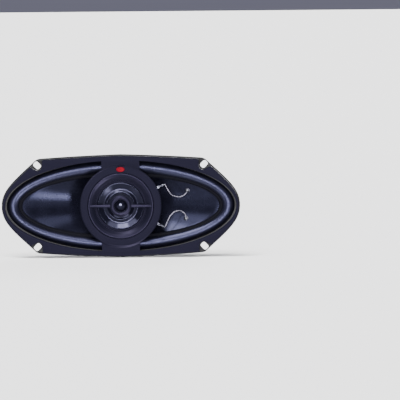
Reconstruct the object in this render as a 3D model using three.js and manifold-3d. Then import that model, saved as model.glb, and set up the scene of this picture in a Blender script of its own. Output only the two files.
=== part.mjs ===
// Coaxial car speaker, 4 x 10 inch: an oval woofer with a tweeter carried on a bridge in front of it.
// Millimetres. +X is the long axis, +Z is up and the speaker faces -Y.
// The origin is the centre of the flange's rear face. "Forward" is the distance in front of that face,
// so a point's y is minus its forward value.
import * as THREE from "three";
import { mergeVertices } from "three/addons/utils/BufferGeometryUtils.js";
import Module from "manifold-3d";

const wasm = await Module();
wasm.setup();

// Driving dimensions
const gap = 0.3;
const ovalSides = 40;
const roundSides = 28;
const smallSides = 12;

const flange = { halfLength: 131.2, halfHeight: 56.6, cornerX: 91.4, cornerZ: 52.15, thickness: 1.0 };
const slot = { x: 91.75, z: 45.0, width: 6.2, length: 8.2, corner: 2.4 };
const stake = { x: 62, z: 50.5, radius: 1.6 };
const rim = { inset: 1.6, front: 15.0, chamfer: 0.9, openA: 127.0, openB: 50.0 };
const bridge = { halfWidth: 21.0, back: 8.8, fillet: 4.0 };
const pod = { footRadius: 44.8, radius: 43.5, bevel: 2.5, holeRadius: 36.3, lipRadius: 35.0, front: 13.5, step: 2.1 };
const roll = { a: 118.5, b: 42.8, halfWidth: 6.3, height: 5.0, sheet: 0.7, lip: 9.2, base: 1.3 };
const cone = { neckRadius: 13.1, neck: -22.0, edge: 1.0, paper: 0.6, collar: 3.5, edgeOffset: 9.4 };
const basket = { wallA: 116.9, wallB: 43.9, sheet: 1.0, shelf: -27.6, seat: -35.6, boreRadius: 17.0 };
const windows = { a: 105.0, b: 35.8, insideX: 52.0, spokeHalf: 7.5 };
const coil = { insideRadius: 12.6, radius: 12.85, windingRadius: 13.45, top: -22.0, bottom: -46.0 };
const motor = { plateRadius: 37.5, plate: 5.0, magnetRadius: 36.5, magnet: 12.0, backRadius: 35.0, back: 5.0 };
const pole = { radius: 12.1, gapRadius: 13.95 };
const spider = { insideRadius: 13.15, radius: 35.2, wave: 0.9, cloth: 0.5 };
const guard = { radius: 36.0, flareTop: 34.5, throat: 28.4, hubRadius: 12.0, hubBore: 6.9, barHeight: 2.0 };
const cup = { radius: 34.7, insideRadius: 33.2, floorRadius: 22.5, floor: -4.9, wall: 1.5 };
const tweeterCoil = { insideRadius: 9.5, radius: 9.9 };
const lug = { width: 5.0, sheet: 0.8, front: 8.2, insideRadius: 33.6, tipRadius: 47.0, barrel: 1.5 };
const lead = { radius: 0.6, sides: 8 };
const seatRivet = { radius: 2.0, head: 3.4, circle: 22.0 };

// Solids

function closedSolid(positions, corners) {
  return new wasm.Manifold(new wasm.Mesh({ numProp: 3, vertProperties: positions, triVerts: corners }));
}

// A three.js geometry as a closed solid with its faces outward.
function solid(geometry) {
  const bare = geometry.index ? geometry.toNonIndexed() : geometry.clone();
  bare.deleteAttribute("normal");
  bare.deleteAttribute("uv");
  const merged = mergeVertices(bare, 1e-4);
  const corners = [];
  for (let i = 0; i < merged.index.count; i += 3) {
    const [p, q, r] = [0, 1, 2].map((k) => merged.index.getX(i + k));
    if (p !== q && q !== r && r !== p) corners.push(p, q, r);
  }
  const positions = merged.attributes.position.array;
  const made = closedSolid(positions, new Uint32Array(corners));
  return made.volume() > 0 ? made : closedSolid(positions, new Uint32Array(corners.reverse()));
}

const join = (...pieces) => pieces.reduce((whole, piece) => whole.add(piece));
const cut = (base, ...tools) => tools.reduce((rest, tool) => rest.subtract(tool), base);

// Turned about the speaker's axis: [radius, forward] points, on the axis at both ends or closed as a ring.
function turned(profile, sides = roundSides) {
  const points = profile.map(([radius, forward]) => new THREE.Vector2(radius, -forward));
  if (profile[0][0] > 0) points.push(points[0].clone());
  return solid(new THREE.LatheGeometry(points, sides));
}

// Like turned, but each ring is an ellipse: [half length, half height, forward] points.
function ovalTurned(rings) {
  const loop = rings[0][0] > 0 ? [...rings, rings[0]] : rings;
  const points = loop.map(([a, , forward]) => new THREE.Vector2(a, -forward));
  const geometry = new THREE.LatheGeometry(points, ovalSides);
  const position = geometry.attributes.position;
  for (let i = 0; i < position.count; i++) {
    const [a, b] = loop[i % loop.length];
    if (a > 0) position.setZ(i, (position.getZ(i) * b) / a);
  }
  return solid(geometry);
}

const ovalPlug = (a, b, back, front) => ovalTurned([[0, 0, back], [a, b, back], [a, b, front], [0, 0, front]]);

const ring = (inner, outer, back, front, sides) =>
  turned([[inner, back], [outer, back], [outer, front], [inner, front]], sides);

// An x-z outline pushed forward from back to front. A chamfer cuts its front edge, and adds one behind its back.
function pressed(shape, back, front, chamfer = 0) {
  const geometry = new THREE.ExtrudeGeometry(shape, {
    depth: front - back - chamfer,
    bevelEnabled: chamfer > 0,
    bevelThickness: chamfer,
    bevelSize: chamfer,
    bevelOffset: -chamfer,
    bevelSegments: 1,
    curveSegments: 6,
  });
  geometry.rotateX(Math.PI / 2);
  geometry.translate(0, -back, 0);
  return solid(geometry);
}

// A box from its lowest and highest x, forward and z.
function block([x0, x1], [back, front], [z0, z1]) {
  const geometry = new THREE.BoxGeometry(x1 - x0, front - back, z1 - z0);
  return solid(geometry.translate((x0 + x1) / 2, -(back + front) / 2, (z0 + z1) / 2));
}

// A round bar along the speaker's axis.
function pin(x, z, radius, back, front, sides = smallSides) {
  const geometry = new THREE.CylinderGeometry(radius, radius, front - back, sides);
  return solid(geometry.translate(x, -(back + front) / 2, z));
}

// A round wire through [x, forward, z] points.
function wire(points, steps, radius = lead.radius) {
  const path = new THREE.CatmullRomCurve3(points.map(([x, forward, z]) => new THREE.Vector3(x, -forward, z)));
  const section = new THREE.Shape();
  for (let i = 0; i < lead.sides; i++) {
    const angle = (2 * Math.PI * i) / lead.sides;
    const corner = [radius * Math.cos(angle), radius * Math.sin(angle)];
    if (i === 0) section.moveTo(...corner);
    else section.lineTo(...corner);
  }
  return solid(new THREE.ExtrudeGeometry(section, { steps, extrudePath: path, bevelEnabled: false }));
}

// The scene

const speaker = new THREE.Group();
speaker.name = "coaxial_speaker";

const finishes = {
  plastic: { color: 0x22243a, roughness: 0.5, metalness: 0.0 },
  steel: { color: 0x101014, roughness: 0.55, metalness: 0.3 },
  zinc: { color: 0x9a9a92, roughness: 0.4, metalness: 0.9 },
  ferrite: { color: 0x2c2b2d, roughness: 0.8, metalness: 0.1 },
  coneFilm: { color: 0x1b1c2c, roughness: 0.35, metalness: 0.0 },
  foam: { color: 0x26283a, roughness: 0.85, metalness: 0.0 },
  cloth: { color: 0xb78d4a, roughness: 0.9, metalness: 0.0 },
  glossFilm: { color: 0x2a2c3c, roughness: 0.12, metalness: 0.3 },
  brass: { color: 0xb99a55, roughness: 0.35, metalness: 1.0 },
  copper: { color: 0xb0603a, roughness: 0.4, metalness: 1.0 },
  tinsel: { color: 0xc9c6bd, roughness: 0.6, metalness: 0.6 },
  board: { color: 0x6b4a2a, roughness: 0.7, metalness: 0.0 },
  card: { color: 0x1a1a1c, roughness: 0.95, metalness: 0.0 },
  red: { color: 0xb01c2c, roughness: 0.25, metalness: 0.0 },
  sleeve: { color: 0x1f3a6a, roughness: 0.4, metalness: 0.0 },
};

function place(name, made, finish, parent = speaker) {
  const { vertProperties, triVerts } = made.getMesh();
  const geometry = new THREE.BufferGeometry();
  geometry.setAttribute("position", new THREE.BufferAttribute(vertProperties, 3));
  geometry.setIndex(new THREE.BufferAttribute(triVerts, 1));
  geometry.computeVertexNormals();
  const mesh = new THREE.Mesh(geometry, new THREE.MeshStandardMaterial(finishes[finish]));
  mesh.name = name;
  parent.add(mesh);
}

// The four quadrants, as signs of x and z.
const quadrants = [[1, 1], [-1, 1], [-1, -1], [1, -1]];

// Outline: long edges that fall slightly from the middle, small corners, slanted sides and blunt round ends.

function quarterOutline() {
  const { halfLength, halfHeight, cornerX, cornerZ } = flange;
  const at = (x, z) => new THREE.Vector2(x, z);
  const cornerStart = at(cornerX - 3.4, cornerZ + 0.25);
  const cornerEnd = at(cornerX + 2.5, cornerZ - 1.95);
  const edge = new THREE.QuadraticBezierCurve(at(0, halfHeight), at(46, halfHeight - 1.2), cornerStart);
  const corner = new THREE.QuadraticBezierCurve(cornerStart, at(cornerX, cornerZ), cornerEnd);
  const end = new THREE.CubicBezierCurve(cornerEnd, at(118, 28), at(halfLength, 18), at(halfLength, 0));
  return [...edge.getPoints(4), ...corner.getPoints(2).slice(1), ...end.getPoints(8).slice(1)];
}

function outlinePoints(inset) {
  const quarter = quarterOutline();
  const backward = quarter.slice(1, -1).reverse();
  const flip = (points, x, z) => points.map((p) => new THREE.Vector2(p.x * x, p.y * z));
  const loop = [...quarter, ...flip(backward, 1, -1), ...flip(quarter, -1, -1), ...flip(backward, -1, 1)];
  return loop.map((point, i) => {
    const before = loop[(i + loop.length - 1) % loop.length];
    const after = loop[(i + 1) % loop.length];
    const along = after.clone().sub(before).normalize();
    return new THREE.Vector2(point.x + along.y * inset, point.y - along.x * inset);
  });
}

const outline = (inset) => new THREE.Shape(outlinePoints(inset));

// A slot at a corner, its long axis at 45 degrees, pointing at that corner.
function slotTool([signX, signZ]) {
  const { width, length, corner } = slot;
  const shape = new THREE.Shape();
  const [w, l] = [width / 2, length / 2];
  shape.moveTo(l - corner, -w);
  shape.absarc(l - corner, -w + corner, corner, -Math.PI / 2, 0);
  shape.absarc(l - corner, w - corner, corner, 0, Math.PI / 2);
  shape.absarc(-l + corner, w - corner, corner, Math.PI / 2, Math.PI);
  shape.absarc(-l + corner, -w + corner, corner, Math.PI, 1.5 * Math.PI);
  const turn = Math.atan2(signZ, signX);
  const points = shape.getPoints(3).map((p) => p.rotateAround(new THREE.Vector2(), turn));
  const moved = points.map((p) => new THREE.Vector2(p.x + signX * slot.x, p.y + signZ * slot.z));
  return pressed(new THREE.Shape(moved), -1, flange.thickness + 1);
}

// The scallop that leaves a corner's ear bare: upright on the inside, round under the slot, then outward.
function notchTool([signX, signZ]) {
  const round = new THREE.QuadraticBezierCurve(
    new THREE.Vector2(-5.6, 0.5),
    new THREE.Vector2(-5.6, -5.6),
    new THREE.Vector2(-0.5, -5.9),
  );
  const outside = [[6.6, -2.2], [18, 3.5], [18, 14], [-5.6, 14]].map(([x, z]) => new THREE.Vector2(x, z));
  const points = [...round.getPoints(5), ...outside];
  const moved = points.map((p) => new THREE.Vector2(signX * (p.x + slot.x), signZ * (p.y + slot.z)));
  return pressed(new THREE.Shape(moved), 0, rim.front + 1);
}

// Basket: pressed steel, one sheet from the flange down to the motor's seat

const stakes = quadrants.map(([signX, signZ]) => [signX * stake.x, signZ * stake.z]);
const rivetPlaces = quadrants.map(([signX, signZ]) => {
  const side = seatRivet.circle * Math.SQRT1_2;
  return [signX * side, signZ * side];
});

function makeBasket() {
  const { wallA, wallB, sheet, shelf, seat, boreRadius } = basket;
  const mid = flange.thickness / 2;
  const bowl = ovalTurned([
    [wallA, wallB, mid],
    [113.5, 42.3, -7.5],
    [44, 37.6, shelf - sheet],
    [30, 30, shelf - sheet],
    [29, 29, seat - sheet],
    [boreRadius, boreRadius, seat - sheet],
    [boreRadius, boreRadius, seat],
    [28, 28, seat],
    [29, 29, shelf],
    [43.6, 36.6, shelf],
    [112.3, 41.2, -6.7],
    [wallA - sheet, wallB - sheet, mid],
  ]);
  const flat = cut(
    pressed(outline(0), 0, flange.thickness),
    ovalPlug(wallA - sheet, wallB - sheet, -1, flange.thickness + 1),
  );
  const endWindows = cut(
    ovalPlug(windows.a, windows.b, shelf - 4, -2),
    block([-windows.insideX, windows.insideX], [-60, 0], [-60, 60]),
    block([-150, 150], [-60, 0], [-windows.spokeHalf, windows.spokeHalf]),
  );
  const sideWindows = quadrants.map(([signX, signZ]) =>
    block([Math.min(signX * 9, signX * 35), Math.max(signX * 9, signX * 35)], [-24, -9],
      [Math.min(signZ * 30, signZ * 60), Math.max(signZ * 30, signZ * 60)]),
  );
  return cut(
    join(flat, bowl),
    endWindows,
    ...sideWindows,
    ...quadrants.map(slotTool),
    ...stakes.map(([x, z]) => pin(x, z, stake.radius + gap, -1, flange.thickness + 1, 12)),
    ...rivetPlaces.map(([x, z]) => pin(x, z, seatRivet.radius + gap, seat - 3, seat + 2)),
    pin(80, 0, 1.9, -24, -12),
  );
}

// Trim: moulded cover with the bridge and the tweeter pod's ring, staked to the flange

function bridgeArm(sign) {
  const { halfWidth, back, fillet } = bridge;
  const centreX = halfWidth + fillet;
  const reach = pod.footRadius + fillet;
  const centreZ = Math.sqrt(reach * reach - centreX * centreX);
  const facing = Math.atan2(-centreZ, -centreX) + 2 * Math.PI;
  const side = new THREE.Path().absarc(centreX, centreZ, fillet, Math.PI, facing).getPoints(4);
  const right = [new THREE.Vector2(halfWidth, rim.openB + 1), ...side, new THREE.Vector2(20, 34)];
  const left = right.map((p) => new THREE.Vector2(-p.x, p.y)).reverse();
  const points = [...right, ...left].map((p) => new THREE.Vector2(p.x, sign * p.y));
  return pressed(new THREE.Shape(points), back, rim.front);
}

function makeTrim() {
  const base = flange.thickness + gap;
  const { openA, openB, front, chamfer, inset } = rim;
  const plate = cut(
    pressed(outline(inset), base - 2, front, chamfer),
    block([-150, 150], [base - 5, base], [-80, 80]),
    ovalPlug(openA, openB, 0, front + 1),
    ovalPlug(roll.a + roll.lip + 0.4, roll.b + roll.lip + 0.4, 0, 3.7),
    ...quadrants.map(notchTool),
  );
  const podRing = turned([
    [pod.holeRadius - 1, bridge.back],
    [pod.footRadius, bridge.back],
    [pod.footRadius, pod.front - pod.bevel],
    [pod.radius, pod.front],
    [pod.holeRadius - 1, pod.front],
  ], ovalSides);
  const hole = turned([
    [0, 0],
    [pod.lipRadius, 0],
    [pod.lipRadius, 10],
    [pod.holeRadius, 10],
    [pod.holeRadius, pod.front],
    [pod.radius, pod.front],
    [pod.radius + pod.step, front + 0.1],
    [0, front + 0.1],
  ], ovalSides);
  const posts = stakes.map(([x, z]) => pin(x, z, stake.radius, 0.1, base + 1, 12));
  return cut(join(plate, bridgeArm(1), bridgeArm(-1), podRing, ...posts), hole);
}

const badge = { z: 40.2, halfWidth: 4.6, halfHeight: 2.7, back: 14.3, front: 15.2 };

function makeBadge() {
  const shape = new THREE.Shape().absellipse(0, badge.z, badge.halfWidth, badge.halfHeight, 0, 2 * Math.PI);
  return pressed(new THREE.Shape(shape.getPoints(16).slice(0, -1)), badge.back, badge.front, 0.5);
}

// Woofer's moving pieces

const offsetRing = (offset, forward) => [roll.a + offset, roll.b + offset, forward];

function makeSurround() {
  const { halfWidth, height, sheet, lip, base } = roll;
  const arch = (across, rise) =>
    [0.12, 0.31, 0.5, 0.69, 0.88].map((part) => {
      const angle = Math.PI * part;
      return offsetRing(-across * Math.cos(angle), base + rise * Math.sin(angle));
    });
  const outside = arch(halfWidth, height);
  const inside = arch(halfWidth - sheet, height - sheet).reverse();
  return ovalTurned([
    offsetRing(-lip, base + sheet),
    offsetRing(-halfWidth, base + sheet),
    ...outside,
    offsetRing(halfWidth, base + sheet),
    offsetRing(lip, base + sheet),
    offsetRing(lip, base),
    offsetRing(halfWidth - sheet, base),
    ...inside,
    offsetRing(sheet - halfWidth, base),
    offsetRing(-lip, base),
  ]);
}

// The cone's front surface runs from the neck's circle (part 0) to its oval edge (part 1).
function coneRing(part, lower = 0) {
  const edgeA = roll.a - cone.edgeOffset;
  const edgeB = roll.b - cone.edgeOffset;
  const rise = 1.18 * part - 0.18 * part * part;
  return [
    cone.neckRadius + (edgeA - cone.neckRadius) * part,
    cone.neckRadius + (edgeB - cone.neckRadius) * part,
    cone.neck + (cone.edge - cone.neck) * rise - lower,
  ];
}

// The point of the cone's front surface at an x and z, and the direction that it faces.
function conePoint(x, z) {
  const heightAt = (px, pz) => {
    let [low, high] = [0, 1];
    for (let i = 0; i < 40; i++) {
      const part = (low + high) / 2;
      const [a, b] = coneRing(part);
      if ((px / a) ** 2 + (pz / b) ** 2 > 1) low = part;
      else high = part;
    }
    return coneRing(low)[2];
  };
  const step = 0.5;
  const slopeX = (heightAt(x + step, z) - heightAt(x - step, z)) / (2 * step);
  const slopeZ = (heightAt(x, z + step) - heightAt(x, z - step)) / (2 * step);
  return {
    point: new THREE.Vector3(x, -heightAt(x, z), z),
    facing: new THREE.Vector3(-slopeX, -1, -slopeZ).normalize(),
  };
}

// A turned piece stood on the cone's surface: [radius, height above the surface] points.
function standOnCone([x, z], profile) {
  const { point, facing } = conePoint(x, z);
  const points = profile.map(([radius, height]) => new THREE.Vector2(radius, height));
  if (profile[0][0] > 0) points.push(points[0].clone());
  const geometry = new THREE.LatheGeometry(points, 12);
  geometry.applyQuaternion(new THREE.Quaternion().setFromUnitVectors(new THREE.Vector3(0, 1, 0), facing));
  return solid(geometry.translate(point.x, point.y, point.z));
}

const eyelets = { upper: [73.4, 16.1], lower: [71.6, -14.9] };
const eyeletShape = [[0, -1.9], [2.4, -1.9], [2.4, -1.1], [1.2, -1.1], [1.2, 0.5], [2.6, 0.5], [2.6, 1.2], [0, 1.2]];

function makeCone() {
  const parts = [0, 0.25, 0.5, 0.75, 1];
  const [edgeA, edgeB] = coneRing(1);
  const flat = 2.6;
  const collarRadius = cone.neckRadius + cone.paper;
  const collarEnd = cone.neck - cone.collar;
  const shell = ovalTurned([
    ...parts.map((part) => coneRing(part)),
    [edgeA + flat, edgeB + flat, cone.edge],
    [edgeA + flat, edgeB + flat, cone.edge - cone.paper],
    ...parts.slice(1).reverse().map((part) => coneRing(part, cone.paper)),
    [collarRadius, collarRadius, cone.neck - cone.paper],
    [collarRadius, collarRadius, collarEnd],
    [cone.neckRadius, cone.neckRadius, collarEnd],
  ]);
  const holes = Object.values(eyelets).map((at) => standOnCone(at, [[0, -4], [1.6, -4], [1.6, 4], [0, 4]]));
  return cut(shell, ...holes);
}

const makeDustCap = () =>
  turned([
    [0, -17.6],
    [6.5, -18.5],
    [12.8, -21.1],
    [12.8, -21.7],
    [6.3, -19.1],
    [0, -18.2],
  ]);

function makeSpider() {
  const { insideRadius, radius, wave, cloth } = spider;
  const level = basket.shelf + gap;
  const crests = [16.0, 19.0, 22.0, 25.0, 28.0];
  const top = [
    [insideRadius, level + cloth],
    ...crests.map((r, i) => [r, level + cloth + (i % 2 ? -wave : wave)]),
    [29.8, level + cloth],
    [radius, level + cloth],
  ];
  const bottom = top.map(([r, forward]) => [r, forward - cloth]).reverse();
  return turned([...top, ...bottom]);
}

// Woofer's motor, stacked behind the basket's seat

const plateFront = basket.seat - basket.sheet - gap;
const plateBack = plateFront - motor.plate;
const magnetFront = plateBack - gap;
const magnetBack = magnetFront - motor.magnet;
const yokeFront = magnetBack - gap;
const yokeBack = yokeFront - motor.back;

const makeTopPlate = () =>
  cut(
    ring(pole.gapRadius, motor.plateRadius, plateBack, plateFront),
    ...rivetPlaces.map(([x, z]) => pin(x, z, seatRivet.radius + gap, plateBack - 1, plateFront + 1)),
  );

const makeYoke = () =>
  turned([
    [0, plateFront],
    [pole.radius, plateFront],
    [pole.radius, yokeFront],
    [motor.backRadius, yokeFront],
    [motor.backRadius, yokeBack + 1],
    [motor.backRadius - 1, yokeBack],
    [0, yokeBack],
  ]);

const makeSeatRivet = ([x, z]) =>
  join(
    pin(x, z, seatRivet.radius, plateBack + 0.2, basket.seat + 1),
    pin(x, z, seatRivet.head, basket.seat + gap, basket.seat + 1.6),
  );

// Tweeter, dropped into the pod's hole from the front and held by its guard

function makeGuard() {
  const { radius, flareTop, throat, hubRadius, hubBore, barHeight } = guard;
  const flare = turned([
    [radius, 11.6],
    [radius, pod.front - 0.4],
    [radius - 0.4, pod.front],
    [flareTop, pod.front],
    [throat, 10.6],
    [throat, 9.4],
    [33, 11.6],
  ], ovalSides);
  const hub = turned([
    [hubBore, 12.0],
    [hubRadius - 0.6, 12.0],
    [hubRadius, 12.8],
    [hubRadius - 0.4, 13.9],
    [hubRadius - 2.4, 14.6],
    [hubBore + 0.6, 14.4],
    [hubBore, 13.7],
  ]);
  const half = barHeight / 2;
  const bar = new THREE.Shape([
    new THREE.Vector2(-flareTop, -half),
    new THREE.Vector2(flareTop, -half),
    new THREE.Vector2(flareTop, half),
    new THREE.Vector2(-flareTop, half),
  ]);
  const bore = turned([[0, 0], [hubBore + 0.5, 0], [hubBore + 0.5, 20], [0, 20]]);
  return join(flare, hub, cut(pressed(bar, 12.0, 13.4), bore));
}

function lugSlot(angle) {
  const half = lug.width / 2 + gap;
  const geometry = new THREE.BoxGeometry(8, lug.sheet + 2 * gap, 2 * half);
  geometry.translate(cup.insideRadius, lug.sheet / 2 - lug.front, 0);
  return solid(geometry.rotateY(-angle));
}

const lugAngles = { upper: 0.45, lower: -0.46 };

function makeHousing() {
  const { radius, insideRadius, floorRadius, floor, wall } = cup;
  const shell = turned([
    [0, floor],
    [floorRadius, floor],
    [30.5, 3.6],
    [radius, 7.4],
    [radius, 10.3],
    [guard.radius, 10.3],
    [guard.radius, 11.3],
    [insideRadius, 11.3],
    [insideRadius, 7.2],
    [31.2, 7.2],
    [29.2, 4.6],
    [floorRadius - 1.2, floor + wall],
    [0, floor + wall],
  ], ovalSides);
  return cut(shell, ...Object.values(lugAngles).map(lugSlot));
}

// Glossy moulded film: a flat lip, a broad ring cone with a ridge inside it, and a centre dome.
function makeDiaphragm() {
  const film = 0.35;
  const front = [
    [0, 8.5],
    [5.5, 7.8],
    [9.5, 5.4],
    [10.2, 4.9],
    [14.6, 7.2],
    [15.6, 7.4],
    [17.8, 6.1],
    [19.4, 6.2],
    [24.8, 8.2],
    [25.6, 7.6],
    [29.5, 7.6],
  ];
  const back = front.map(([r, forward]) => [r, forward - film]).reverse();
  return turned([...front, ...back]);
}

const makeChassis = () =>
  turned([
    [15, 3.5],
    [23.5, 3.5],
    [28.2, 5.7],
    [29.9, 6.1],
    [29.9, 6.7],
    [24.5, 6.7],
    [20.5, 4.5],
    [15, 4.1],
  ]);

const makeTweeterYoke = () =>
  turned([
    [0, 3.2],
    [9.0, 3.2],
    [9.0, -1.4],
    [19.2, -1.4],
    [19.2, -3.1],
    [0, -3.1],
  ]);

function makeCapacitor() {
  const centre = cup.floor - gap - 3.6;
  const body = new THREE.CylinderGeometry(3.5, 3.5, 16, smallSides).rotateZ(Math.PI / 2);
  const pigtail = (side) =>
    wire([[side * 7, centre, 0], [side * 11, centre, 0], [side * 12.6, centre + 1.4, 0],
      [side * 12.8, cup.floor - gap - 0.1, 0]], 6, 0.4);
  return join(solid(body.translate(0, -centre, 0)), pigtail(1), pigtail(-1));
}

function makeLug(angle) {
  const { width, sheet, front, insideRadius, tipRadius, barrel } = lug;
  const plate = new THREE.BoxGeometry(tipRadius - insideRadius, sheet, width);
  plate.translate((insideRadius + tipRadius) / 2, sheet / 2 - front, 0);
  const crimp = new THREE.CylinderGeometry(barrel, barrel, 5.5, 10).rotateZ(Math.PI / 2);
  crimp.translate(tipRadius + 2, barrel - front, 0);
  return join(solid(plate.rotateY(-angle)), solid(crimp.rotateY(-angle)));
}

// Leads

const crimpEnd = lug.tipRadius + 4.75 + 2 * gap;
const crimpLevel = lug.front - lug.barrel;
const leadStart = (angle) => [crimpEnd * Math.cos(angle), crimpLevel, crimpEnd * Math.sin(angle)];

// The end of a lead, just off an eyelet's front or rear head.
function eyeletEnd(at, height) {
  const { point, facing } = conePoint(...at);
  const end = point.add(facing.multiplyScalar(height));
  return [end.x, -end.y, end.z];
}

const frontLeads = {
  upper: [
    [48.6, 6.7, 23.0], [51.6, 6.2, 17.6], [55.7, 4.6, 11.9], [59.8, 3.0, 9.9], [64.4, 1.4, 9.1], [69.0, 0.4, 10.6],
    [72.4, 0.1, 13.8],
  ],
  lower: [
    [48.3, 6.7, -23.5], [51.4, 6.2, -17.0], [54.1, 5.2, -11.9], [57.5, 3.9, -8.4], [61.6, 2.2, -6.3],
    [66.0, 0.8, -6.4], [70.4, 0.0, -9.8],
  ],
};

const makeFrontLead = (side) =>
  wire([leadStart(lugAngles[side]), ...frontLeads[side], eyeletEnd(eyelets[side], 1.9)], 14);

const rearLeads = {
  upper: [[71.9, -20.8, 12.0], [71.9, -15.6, 16.4]],
  lower: [[71.5, -20.8, -12.0], [70.4, -15.6, -15.6]],
};

const makeRearLead = (side, sign) =>
  wire([[73.9, -22.3, sign * 9.4], ...rearLeads[side], eyeletEnd(eyelets[side], -2.6)], 8);

// Terminal strip, riveted to the basket's right-hand spoke and lying along it

const strip = { x: 80, slope: Math.atan2(21.1, 69.5), length: 12, height: 30, sheet: 1.6 };
const spokeRear = -7.5 - ((113.5 - strip.x) * 21.1) / 69.5;

function stripBlock([x0, x1], [y0, y1], [z0, z1]) {
  const geometry = new THREE.BoxGeometry(x1 - x0, y1 - y0, z1 - z0);
  return solid(geometry.translate((x0 + x1) / 2, (y0 + y1) / 2, (z0 + z1) / 2));
}

function stripPin(radius, y0, y1) {
  return solid(new THREE.CylinderGeometry(radius, radius, y1 - y0, smallSides).translate(0, (y0 + y1) / 2, 0));
}

// A flat push-on tab: its width is 4.8 mm on the positive terminal and 2.8 mm on the negative one.
function makeTab(centre, width) {
  const [y0, y1] = [gap + strip.sheet + gap, gap + strip.sheet + gap + 0.8];
  const tab = stripBlock([-6.3, 14], [y0, y1], [centre - width / 2, centre + width / 2]);
  const hole = solid(new THREE.CylinderGeometry(0.8, 0.8, 4, 10).translate(10.5, y0, centre));
  return cut(tab, hole);
}

// Assembly

place("basket", makeBasket(), "steel");
place("trim_bridge", makeTrim(), "plastic");
place("badge", makeBadge(), "red");
place("surround_gasket", ovalTurned([
  offsetRing(6.9, 2.3), offsetRing(roll.lip, 2.3), offsetRing(roll.lip, 3.4), offsetRing(6.9, 3.4),
]), "card");
place("surround", makeSurround(), "foam");
place("woofer_cone", makeCone(), "coneFilm");
place("dust_cap", makeDustCap(), "coneFilm");
place("voice_coil_former", ring(coil.insideRadius, coil.radius, coil.bottom, coil.top), "cloth");
place("voice_coil_winding", ring(coil.radius + 0.15, coil.windingRadius, plateBack - 1, plateFront + 1), "copper");
place("spider", makeSpider(), "cloth");

place("motor_top_plate", makeTopPlate(), "zinc");
place("motor_magnet", ring(17, motor.magnetRadius, magnetBack, magnetFront), "ferrite");
place("motor_yoke", makeYoke(), "zinc");
rivetPlaces.forEach((at, i) => place("seat_rivet_" + (i + 1), makeSeatRivet(at), "zinc"));

place("tweeter_guard", makeGuard(), "plastic");
place("tweeter_housing", makeHousing(), "plastic");
place("tweeter_clamp_ring", ring(25.8, 32.9, 8.1, 9.0), "plastic");
place("tweeter_diaphragm", makeDiaphragm(), "glossFilm");
place("tweeter_voice_coil", ring(tweeterCoil.insideRadius, tweeterCoil.radius, -0.4, 4.2, 24), "copper");
place("tweeter_chassis", makeChassis(), "plastic");
place("tweeter_top_plate", ring(10.4, 19.2, 1.2, 3.2, 24), "zinc");
place("tweeter_magnet", ring(12, 18.6, -1.1, 0.9, 24), "ferrite");
place("tweeter_yoke", makeTweeterYoke(), "zinc");
place("tweeter_capacitor", makeCapacitor(), "sleeve");

for (const side of ["upper", "lower"]) {
  place("pod_lug_" + side, makeLug(lugAngles[side]), "zinc");
  place("cone_eyelet_" + side, standOnCone(eyelets[side], eyeletShape), "brass");
  place("tweeter_lead_" + side, makeFrontLead(side), "tinsel");
  place("woofer_lead_" + side, makeRearLead(side, side === "upper" ? 1 : -1), "tinsel");
}

const terminals = new THREE.Group();
terminals.position.set(strip.x, -spokeRear, 0);
terminals.rotation.z = -strip.slope;
speaker.add(terminals);
place("terminal_board", cut(
  stripBlock([-strip.length / 2, strip.length / 2], [gap, gap + strip.sheet], [-strip.height / 2, strip.height / 2]),
  stripPin(1.8, -1, 4),
), "board", terminals);
place("terminal_positive", makeTab(8.6, 4.8), "brass", terminals);
place("terminal_negative", makeTab(-8.6, 2.8), "brass", terminals);
place("terminal_rivet", join(stripPin(1.4, -2.0, 3.0), stripPin(2.6, -2.4, -1.5), stripPin(2.6, 2.2, 3.0)),
  "zinc", terminals);

export default speaker;
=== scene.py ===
import math

import bpy
from mathutils import Euler, Matrix, Vector


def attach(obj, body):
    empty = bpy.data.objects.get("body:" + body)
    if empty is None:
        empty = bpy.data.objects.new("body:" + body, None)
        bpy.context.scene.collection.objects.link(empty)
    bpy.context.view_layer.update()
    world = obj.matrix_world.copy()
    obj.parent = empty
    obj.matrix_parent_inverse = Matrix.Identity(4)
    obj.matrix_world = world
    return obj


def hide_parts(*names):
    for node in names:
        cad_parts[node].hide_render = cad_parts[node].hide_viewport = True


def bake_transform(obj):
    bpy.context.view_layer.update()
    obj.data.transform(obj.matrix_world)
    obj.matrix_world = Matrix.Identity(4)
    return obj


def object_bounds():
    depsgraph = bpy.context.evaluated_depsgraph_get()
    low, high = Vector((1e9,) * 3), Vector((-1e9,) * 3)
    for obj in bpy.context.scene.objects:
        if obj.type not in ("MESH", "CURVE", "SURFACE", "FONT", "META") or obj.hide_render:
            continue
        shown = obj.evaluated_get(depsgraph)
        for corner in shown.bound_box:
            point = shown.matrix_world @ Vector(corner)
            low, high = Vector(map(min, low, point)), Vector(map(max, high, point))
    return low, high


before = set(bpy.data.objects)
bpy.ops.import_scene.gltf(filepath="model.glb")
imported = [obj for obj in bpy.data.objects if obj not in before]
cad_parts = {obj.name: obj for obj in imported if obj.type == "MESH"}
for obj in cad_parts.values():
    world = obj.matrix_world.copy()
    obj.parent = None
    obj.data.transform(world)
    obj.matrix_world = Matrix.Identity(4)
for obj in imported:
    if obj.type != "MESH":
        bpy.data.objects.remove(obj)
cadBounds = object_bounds()
mm = 0.001
print("frame loaded:", len(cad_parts), "nodes")


# Places are in millimetres: x along the speaker, z up, and "forward" is -Y, out of the speaker's face.

def at(x, forward, z):
    return Vector((x * mm, -forward * mm, z * mm))


view = {
    "elevation": 2.5,       # degrees above the speaker's axis
    "roll": -0.5,
    "distance": 6000.0,     # mm, far enough for a nearly parallel view
    "width": 440.0,         # mm across the picture, at the flange
    "aim": (87.1, 0.0, 5.3),
    "sensor": 36.0,
    "farthest": 200.0,      # metres
}


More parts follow.
